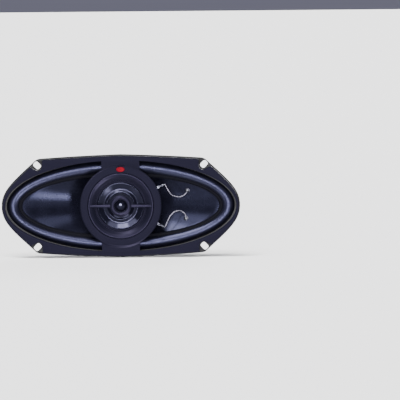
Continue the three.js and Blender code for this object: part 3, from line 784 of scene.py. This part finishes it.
cone = {"neckRadius": 13.1, "neck": -22.0, "edge": 1.0, "paper": 0.6, "collar": 3.5, "offset": 9.4, "flat": 2.6}
eyelets = {"upper": (73.4, 16.1), "lower": (71.6, -14.9)}
eyeletProfile = [
        (0, 0.9), (1.5, 0.9), (1.9, 0.62), (2.6, 0.5), (2.6, 0.0), (1.2, 0.0), (1.2, -0.7), (2.4, -1.0),
        (2.4, -1.6), (1.6, -1.9), (0, -1.9)]
jointProfile = [(0, 2.3), (0.7, 2.2), (1.2, 1.7), (1.7, 1.0), (1.8, 0.7), (0, 0.7)]


def coneRing(part, lower=0.0):
    a, b = roll["a"] - cone["offset"], roll["b"] - cone["offset"]
    rise = 1.18 * part - 0.18 * part * part
    start = cone["neckRadius"]
    return (start + (a - start) * part, start + (b - start) * part,
            cone["neck"] + (cone["edge"] - cone["neck"]) * rise - lower)


def coneHeight(x, z):
    low, high = 0.0, 1.0
    for _ in range(40):
        part = (low + high) / 2
        a, b, _ = coneRing(part)
        low, high = (part, high) if (x / a) ** 2 + (z / b) ** 2 > 1 else (low, part)
    return coneRing(low)[2]


def standOnCone(x, z):
    # The place of a point of the cone's front, turned to face away from it.
    step = 0.5
    slopeX = (coneHeight(x + step, z) - coneHeight(x - step, z)) / (2 * step)
    slopeZ = (coneHeight(x, z + step) - coneHeight(x, z - step)) / (2 * step)
    facing = Vector((-slopeX, -1, -slopeZ)).normalized()
    turn = Vector((0, -1, 0)).rotation_difference(facing).to_matrix().to_4x4()
    return Matrix.Translation(at(x, coneHeight(x, z), z)) @ turn


def onCone(piece, side):
    piece.matrix_world = standOnCone(*eyelets[side]) @ piece.matrix_world
    settle(piece)
    return piece


def makeCone():
    parts = [i / 16 for i in range(17)]
    a, b, _ = coneRing(1)
    radius, flat, paper = cone["neckRadius"], cone["flat"], cone["paper"]
    rings = [
        *(coneRing(p) for p in parts),
        (a + flat, b + flat, cone["edge"]),
        (a + flat, b + flat, cone["edge"] - paper),
        *(coneRing(p, paper) for p in reversed(parts[1:])),
        (radius + paper, radius + paper, cone["neck"] - paper),
        (radius + paper, radius + paper, cone["neck"] - cone["collar"]),
        (radius, radius, cone["neck"] - cone["collar"]),
    ]
    piece = turnRings("ovalCone", [*rings, rings[0]], roll["sides"])
    for side in eyelets:
        combine(piece, onCone(turned("hole", [(0, -4), (1.5, -4), (1.5, 4), (0, 4)], sides=24), side))
    finishPiece(piece, "cone", "cone_film", ["woofer_cone"], 30)
    paintFaces(piece, driedCement, lambda spot, facing: -spot.y / mm > cone["edge"] - 0.05)


makeCone()
bead = hoop("edgeGlue", [(-10.4, 0.75), (-9.3, 0.9), (-9.15, 1.5), (-9.6, 1.85), (-10.2, 1.35)],
            roll["a"], roll["b"], 0.2, roll["sides"])
finishPiece(bead, "cone", "cone_film", angle=60, look=driedCement)
for side in eyelets:
    eyelet = onCone(turned("rolledEyelet", eyeletProfile, 0.2, 32), side)
    eyelet.name = "rolledEyelet" + side.capitalize()
    finishPiece(eyelet, "cone", "brass", ["cone_eyelet_" + side], look=darkNickel)
    dot = onCone(turned("solderDot", jointProfile, 0.3, 24), side)
    dot.name = "solderDot" + side.capitalize()
    finishPiece(dot, "cone", "brass", angle=60, look=solder)
print("cone and eyelets made")


motor = {"plateFront": -36.9, "plateBack": -41.9, "magnetFront": -42.2, "magnetBack": -54.2,
         "yokeFront": -54.5, "yokeBack": -59.5}
winding = {"inner": 13.0, "outer": 13.45, "back": -42.9, "front": -35.9, "turns": 20}
spider = {"inner": 13.15, "outer": 35.2, "level": -27.3, "cloth": 0.5, "wave": 0.9,
          "crests": (16.0, 19.0, 22.0, 25.0, 28.0), "flatFrom": 29.8}
film = {"thick": 0.3, "dome": 8.5, "foot": 4.9, "domeRadius": 9.75, "coneIn": 10.2,
        "ring": [(14.4, 7.1), (15.1, 7.4), (15.8, 7.2), (17.4, 6.25), (18.4, 6.0), (19.6, 6.2), (21.4, 6.85),
        (23.2, 7.55), (24.5, 8.05), (24.95, 8.1), (25.3, 7.9), (25.6, 7.6), (29.5, 7.6)]}


def windingProfile():
    pitch = (winding["front"] - winding["back"]) / winding["turns"]
    outer = []
    for i in range(winding["turns"]):
        low = winding["back"] + pitch * i
        outer += [(winding["outer"] - 0.18, low + 0.02), (winding["outer"] - 0.03, low + pitch * 0.25),
                  (winding["outer"], low + pitch * 0.5), (winding["outer"] - 0.03, low + pitch * 0.75)]
    return [(winding["inner"], winding["back"]), *outer, (winding["inner"], winding["front"])]


def spiderProfile():
    # A cosine wave across the crests, flat at both ends, with the cloth's thickness behind it.
    first, last = spider["crests"][0], spider["crests"][-1]
    level, cloth, wave = spider["level"], spider["cloth"], spider["wave"]
    top = [(spider["inner"], level + cloth)]
    for i in range(41):
        r = first - 1.5 + (last - first + 3.0) * i / 40
        fade = min(1, (r - first + 1.5) / 1.5, (last + 1.5 - r) / 1.5)
        top.append((r, level + cloth + wave * fade * math.cos((r - first) / 3.0 * math.pi)))
    top += [(spider["flatFrom"], level + cloth), (spider["outer"], level + cloth)]
    return top + [(r, forward - cloth) for r, forward in reversed(top)]


def filmProfile():
    # Centre dome, steep ring, ridge, broad shallow ring and flat lip, in one formed sheet.
    foot, edge = film["foot"] + 0.1, 1.36
    dome = [(film["domeRadius"] * math.sin(t) / math.sin(edge),
             foot + (film["dome"] - foot) * (math.cos(t) - math.cos(edge)) / (1 - math.cos(edge)))
            for t in (edge * i / 14 for i in range(15))]
    ring = softCorners([dome[-1], (film["coneIn"], film["foot"]), *film["ring"]], 0.8, 3, closed=False)
    front = [*dome, *ring[1:]]
    return front + [(out, forward - film["thick"]) for out, forward in reversed(front)]


back, front = motor["yokeBack"], motor["yokeFront"]
turnedPieces = {
    # name: (closed on the axis, profile, corner radius, sides, body, slot, node, smoothing angle)
    "dustCap": (True, [(0, -17.6), (3.4, -17.8), (6.5, -18.45), (9.8, -19.6), (12.8, -21.1), (12.8, -21.7),
        (9.6, -20.1), (6.3, -19.0), (3.3, -18.4), (0, -18.2)],
        0.3, 96, "cone", "cone_film", "dust_cap", 40),
    "coilFormer": (False, [(12.6, -46), (12.85, -46), (12.85, -22), (12.6, -22)],
        0, 96, "cone", "coil_former", "voice_coil_former", 32),
    "coilWinding": (False, windingProfile(), 0, 96, "cone", "copper", "voice_coil_winding", 40),
    "motorTopPlate": (False, [
            (13.95, motor["plateBack"]), (37.5, motor["plateBack"]), (37.5, motor["plateFront"]),
        (13.95, motor["plateFront"])],
        0.5, 96, "frame", "zinc_steel", "motor_top_plate", 32),
    "ringMagnet": (False, [
            (17, motor["magnetBack"]), (36.5, motor["magnetBack"]), (36.5, motor["magnetFront"]),
        (17, motor["magnetFront"])],
        0.9, 96, "frame", "ferrite", "motor_magnet", 32),
    "yokeWithPole": (True, [
            (0, -36.9), (11.4, -36.9), (12.1, -37.6), (12.1, front), (34.4, front), (35, front - 0.6),
        (35, back + 1.2), (33.8, back), (27.2, back), (26.6, back + 0.5), (25.8, back + 0.5),
        (25.2, back), (8.4, back), (7.6, back + 1.0), (0, back + 1.0)],
        0.25, 96, "frame", "zinc_steel", "motor_yoke", 32),
    "podCup": (True, [(0, -4.9), (22.5, -4.9), (30.5, 3.6), (34.7, 7.4), (34.7, 10.3), (36, 10.3), (36, 11.3),
        (33.2, 11.3), (33.2, 7.2), (31.2, 7.2), (29.2, 4.6), (21.3, -3.4), (0, -3.4)],
        0.8, 128, "frame", "blue_black_plastic", "tweeter_housing", 36),
    "clampRing": (False, [(25.8, 8.1), (32.9, 8.1), (32.9, 9.0), (26.4, 9.0), (25.8, 8.7)],
        0.2, 128, "frame", "blue_black_plastic", "tweeter_clamp_ring", 36),
    "tweeterDiaphragm": (True, filmProfile(), 0, 128, "tweeter_dome", "tweeter_film", "tweeter_diaphragm", 50),
    "tweeterCoil": (False, [(9.5, -0.4), (9.9, -0.4), (9.9, 4.2), (9.5, 4.2)],
        0, 64, "tweeter_dome", "copper", "tweeter_voice_coil", 32),
    "tweeterChassis": (False, [(15, 3.5), (23.5, 3.5), (28.2, 5.7), (29.9, 6.1), (29.9, 6.7), (24.5, 6.7),
        (20.5, 4.5), (15, 4.1)],
        0.3, 96, "frame", "blue_black_plastic", "tweeter_chassis", 36),
    "tweeterTopPlate": (False, [(10.4, 1.2), (19.2, 1.2), (19.2, 3.2), (10.4, 3.2)],
        0.3, 64, "frame", "zinc_steel", "tweeter_top_plate", 32),
    "tweeterMagnet": (False, [(12, -1.1), (18.6, -1.1), (18.6, 0.9), (12, 0.9)],
        0.3, 64, "frame", "ferrite", "tweeter_magnet", 32),
    "tweeterYoke": (True, [(0, 3.2), (9, 3.2), (9, -1.4), (19.2, -1.4), (19.2, -3.1), (0, -3.1)],
        0.3, 64, "frame", "zinc_steel", "tweeter_yoke", 32),
}
rivet = {"circle": 22.0, "profile": [
        (0, -41.7), (2, -41.7), (2, -35.4), (3.4, -35.4), (3.4, -35.0), (2.9, -34.4),
        (1.6, -34.05), (0, -34.0)]}
lugs = {"angle": {"upper": 0.45, "lower": -0.46}, "from": 33.6, "to": 47.0, "width": 5.0, "back": 7.4,
        "front": 8.2, "barrel": 1.5, "barrelFrom": 46.25, "barrelTo": 51.75, "level": 6.7}


def alongBarrel(piece, start):
    # Lays a turned piece along a lug's barrel, from the given place outwards.
    piece.matrix_world = (Matrix.Translation((start * mm, -lugs["level"] * mm, 0))
            @ Matrix.Rotation(math.pi / 2, 4, "Z"))
    settle(piece)
    return piece


def alongLug(piece, side):
    piece.matrix_world = Matrix.Rotation(-lugs["angle"][side], 4, "Y") @ piece.matrix_world
    settle(piece)
    return piece


away = rivet["circle"] * math.sqrt(0.5)
for name, (closed, profile, radius, sides, body, slot, node, angle) in turnedPieces.items():
    piece = (turned if closed else hoop)(name, profile, radius=radius, sides=sides)
    if name == "motorTopPlate":
        for signX, signZ in quadrants:
            hole = turned("hole", [(0, -43), (2.2, -43), (2.2, -36), (0, -36)], sides=24)
            combine(piece, moved(hole, signX * away, 0, signZ * away))
    if name == "podCup":
        for side in lugs["angle"]:
            slotTool = roundedBlock("slot", (29.2, -8.5, -2.8), (37.2, -7.1, 2.8), 0.3)
            combine(piece, alongLug(slotTool, side))
    finishPiece(piece, body, slot, [node], angle)
print("turned pieces made:", len(turnedPieces))

cloth = hoop("spiderCloth", spiderProfile(), sides=96)
finishPiece(cloth, None, "spider_cloth", ["spider"], 60)
blendBy(cloth, lambda x, z: (30.0 - math.hypot(x, z)) / 15.0)

firstRivet = turned("seatRivet1", rivet["profile"], 0.2, 32)
for number, (signX, signZ) in enumerate(quadrants[1:], 2):
    extra = copyTo(firstRivet, "seatRivet" + str(number), Matrix.Translation(at(signX * away, 0, signZ * away)))
    finishPiece(extra, "frame", "zinc_steel", ["seat_rivet_" + str(number)])
finishPiece(moved(firstRivet, away, 0, away), "frame", "zinc_steel", ["seat_rivet_1"])
print("spider and rivets made")


guard = {"radius": 36.0, "front": 13.5, "flareTop": 34.5, "throat": 28.4, "throatFront": 10.6,
         "hubRadius": 12.0, "hubBore": 6.9, "barHalf": 1.5, "barBack": 12.0, "barFront": 13.4, "barEdge": 0.6}


def makeGuard():
    front, radius, throat = guard["front"], guard["radius"], guard["throat"]
    top = guard["flareTop"]
    flare = hoop("tweeterGuard", [
        (radius, 11.6), (radius, front - 0.4), (radius - 0.4, front), (top, front),
        (top - 2.6, front - 0.8), (throat + 1.0, guard["throatFront"] + 0.5), (throat, guard["throatFront"]),
        (throat, 9.4), (33, 11.6)], radius=0.25, sides=160)
    half, reachOut, reachIn = guard["barHalf"], top - 0.3, guard["hubRadius"] - 1.5
    for sign in (1, -1):
        bar = [(sign * x, z) for x, z in (
                (reachIn, -half * 1.15), (reachOut, -half * 0.9), (reachOut, half * 0.9),
                (reachIn, half * 1.15))]
        combine(flare, stamped("bar", [bar], guard["barBack"], guard["barFront"], guard["barEdge"], 3), "UNION")
    hub, bore = guard["hubRadius"], guard["hubBore"]
    ring = hoop("hub", [(bore, 12.0), (hub - 0.6, 12.0), (hub, 12.8), (hub - 0.4, 13.9), (hub - 2.4, 14.6),
            (bore + 0.6, 14.4), (bore, 13.7)], radius=0.5, sides=96)
    combine(flare, ring, "UNION")
    return finishPiece(flare, "frame", "blue_black_plastic", ["tweeter_guard"], 36, look=polishedAbs)


makeGuard()
print("guard made")


lead = {"radius": 0.6, "strands": 6, "strand": 0.25, "pitch": 4.2, "step": 0.7}
frontLeads = {
    "upper": [(48.6, 6.7, 23.0), (51.6, 6.2, 17.6), (55.7, 4.6, 11.9), (59.8, 3.0, 9.9), (64.4, 1.4, 9.1),
        (69.0, 0.4, 10.6), (72.4, 0.1, 13.8)],
    "lower": [(48.3, 6.7, -23.5), (51.4, 6.2, -17.0), (54.1, 5.2, -11.9), (57.5, 3.9, -8.4), (61.6, 2.2, -6.3),
        (66.0, 0.8, -6.4), (70.4, 0.0, -9.8)],
}
rearLeads = {
    "upper": [(73.9, -22.3, 9.4), (71.9, -20.8, 12.0), (71.9, -15.6, 16.4)],
    "lower": [(73.9, -22.3, -9.4), (71.5, -20.8, -12.0), (70.4, -15.6, -15.6)],
}


def smoothRoute(points, step):
    # A curve through the points, in even steps of about the given length in mm.
    ends = [points[0] * 2 - points[1], *points, points[-1] * 2 - points[-2]]
    route = []
    for p, q, r, s in zip(ends, ends[1:], ends[2:], ends[3:]):
        count = max(2, round((r - q).length / (step * mm)))
        for i in range(count):
            t = i / count
            route.append(0.5 * (2 * q + (r - p) * t + (2 * p - 5 * q + 4 * r - s) * t * t
                    + (3 * q - p - 3 * r + s) * t ** 3))
    return [*route, points[-1]]


def plait(route):
    # Strands that wind round the route, side by side.
    paths = [[] for _ in range(lead["strands"])]
    side = (route[1] - route[0]).orthogonal().normalized()
    turn = 0.0
    for i, point in enumerate(route):
        along = (route[min(i + 1, len(route) - 1)] - route[max(i - 1, 0)]).normalized()
        side = (side - along * side.dot(along)).normalized()
        over = along.cross(side)
        if i:
            turn += (point - route[i - 1]).length / (lead["pitch"] * mm) * 2 * math.pi
        for number, path in enumerate(paths):
            angle = turn + 2 * math.pi * number / len(paths)
            path.append(point + (side * math.cos(angle) + over * math.sin(angle)) *
                        (lead["radius"] - lead["strand"]) * mm)
    return paths


def eyeletEnd(side, height):
    return standOnCone(*eyelets[side]) @ at(0, height, 0)


def makeLead(name, points, node):
    route = smoothRoute(points, lead["step"])
    piece = wires(name, [*plait(route), route], lead["strand"], 1)
    finishPiece(piece, None, "tinsel", [node], 60)
    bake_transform(piece)
    length = sum((q - p).length for p, q in zip(route, route[1:])) / mm
    print(name, "is", round(length, 1), "mm long")


def makeLug(side):
    half = lugs["width"] / 2
    plate = roundedBlock("podLug" + side.capitalize(), (lugs["from"], -lugs["front"], -half),
            (lugs["to"] - 2.4, -lugs["back"], half), 1.0)
    neck = roundedBlock("neck", (lugs["to"] - 4.0, -lugs["front"], -1.3),
            (lugs["to"] + 0.6, -lugs["back"], 1.3), 0.2)
    combine(plate, neck, "UNION")
    outer, length = lugs["barrel"], lugs["barrelTo"] - lugs["barrelFrom"]
    inner = lead["radius"] + 0.15
    barrel = hoop("barrel", [(inner, 0), (outer, 0), (outer, length * 0.3), (outer - 0.35, length * 0.42),
            (outer - 0.35, length * 0.58), (outer, length * 0.7), (outer, length), (inner, length)],
            radius=0.25, sides=32)
    alongBarrel(barrel, lugs["barrelFrom"])
    softEdges(plate, 0.15)
    join(plate, barrel)
    alongLug(plate, side)
    finishPiece(plate, "frame", "zinc_steel", ["pod_lug_" + side], look=darkNickel)
    drop = turned("lugSolder" + side.capitalize(), [(0, 0), (inner + 0.2, 0), (inner + 0.35, 0.5), (0.75, 1.1),
            (0.65, 1.6), (0, 1.7)], 0.2, 24)
    alongLug(alongBarrel(drop, lugs["barrelTo"] - 0.2), side)
    finishPiece(drop, "frame", "zinc_steel", angle=60, look=solder)


for side, angle in lugs["angle"].items():
    makeLug(side)
    start = lugs["barrelTo"] - 1.5
    first = at(start * math.cos(angle), lugs["level"], start * math.sin(angle))
    reach = at((lugs["barrelTo"] + 0.6) * math.cos(angle), lugs["level"],
               (lugs["barrelTo"] + 0.6) * math.sin(angle))
    makeLead("tweeterLead" + side.capitalize(),
             [first, reach, *(at(*p) for p in frontLeads[side]), eyeletEnd(side, 1.9)], "tweeter_lead_" + side)
    makeLead("wooferLead" + side.capitalize(),
             [*(at(*p) for p in rearLeads[side]), eyeletEnd(side, -2.0)], "woofer_lead_" + side)
print("lugs and leads made")

capacitor = {"centre": -8.8, "radius": 3.5, "length": 16.0, "wire": 0.4}


def makeCapacitor():
    half, radius, level = capacitor["length"] / 2, capacitor["radius"], capacitor["centre"]
    body = turned("filterCapacitor", [(0, -half + 0.5), (radius - 0.9, -half + 0.5), (radius - 0.7, -half),
            (radius, -half), (radius, -half + 1.6), (radius - 0.3, -half + 2.0),
            (radius, -half + 2.4), (radius, half), (radius - 0.7, half),
            (radius - 0.9, half - 0.5), (0, half - 0.5)], 0.3, 64)
    body.matrix_world = Matrix.Translation(at(0, level, 0)) @ Matrix.Rotation(math.pi / 2, 4, "Z")
    settle(body)
    finishPiece(body, "frame", "capacitor_sleeve", ["tweeter_capacitor"])
    paths = [smoothRoute([at(sign * x, level + rise, 0) for x, rise in
            ((6.5, 0), (9.5, 0), (11.6, 0.2), (12.6, 1.4), (12.8, 3.8))], 0.5) for sign in (1, -1)]
    finishPiece(wires("capacitorWires", paths, capacitor["wire"]), "frame", "zinc_steel", angle=60, look=solder)


makeCapacitor()

tabs = {"positive": {"z": 8.6, "width": 4.8}, "negative": {"z": -8.6, "width": 2.8}}


def onStrip(piece):
    # Lays a piece on the back of the basket's right-hand spoke.
    rear = 7.5 + (113.5 - strip["x"]) * math.tan(strip["slope"])
    piece.matrix_world = (Matrix.Translation((strip["x"] * mm, rear * mm, 0))
            @ Matrix.Rotation(-strip["slope"], 4, "Z") @ piece.matrix_world)
    settle(piece)
    return piece


def backPin(name, profile, x=0.0, z=0.0, sides=24):
    # Turned about the strip's own axis: (outward, behind the spoke) points.
    piece = turned(name, [(out, -behind) for out, behind in profile], 0.15, sides)
    return moved(piece, x, 0, z)


def makeTerminals():
    gap, sheet, halfL, halfH = (strip[k] for k in ("gap", "sheet", "halfLength", "halfHeight"))
    board = roundedBlock("terminalBoard", (-halfL, 0.0, -halfH), (halfL, gap + sheet, halfH), 1.5)
    combine(board, backPin("hole", [(0, -1), (1.8, -1), (1.8, 4), (0, 4)]))
    softEdges(board, 0.15)
    finishPiece(onStrip(board), "frame", "board", ["terminal_board"])
    for name, tab in tabs.items():
        low = gap + sheet
        half, z = tab["width"] / 2, tab["z"]
        blade = roundedBlock("terminal" + name.capitalize(), (strip["tabFrom"], low + 0.1, z - half),
                (strip["tabTo"], low + 0.1 + strip["tabSheet"], z + half), 0.9)
        combine(blade, backPin("hole", [(0, 0), (0.8, 0), (0.8, 5), (0, 5)], 10.5, z))
        softEdges(blade, 0.15)
        staked = backPin(
            "staked", [(0, low), (1.5, low), (1.5, low + 1.0), (1.0, low + 1.5), (0, low + 1.6)], 1.5, z)
        join(blade, staked)
        finishPiece(onStrip(blade), "frame", "brass", ["terminal_" + name])
        top = low + strip["tabSheet"]
        blob = backPin("tabSolder" + name.capitalize(), [(0, top - 0.2), (1.7, top - 0.2), (1.4, top + 0.5),
                (0.8, top + 1.0), (0, top + 1.2)], strip["tabFrom"] + 1.6,
                z, 24)
        finishPiece(onStrip(blob), "frame", "brass", angle=60, look=solder)
    pin = backPin("terminalRivet", [(0, -2.4), (2.6, -2.4), (2.6, -1.6), (1.4, -1.5), (1.4, 1.9), (2.6, 1.9),
            (2.5, 2.5), (1.2, 3.0), (0, 2.7)])
    finishPiece(onStrip(pin), "frame", "zinc_steel", ["terminal_rivet"])


makeTerminals()
print("capacitor and terminals made")
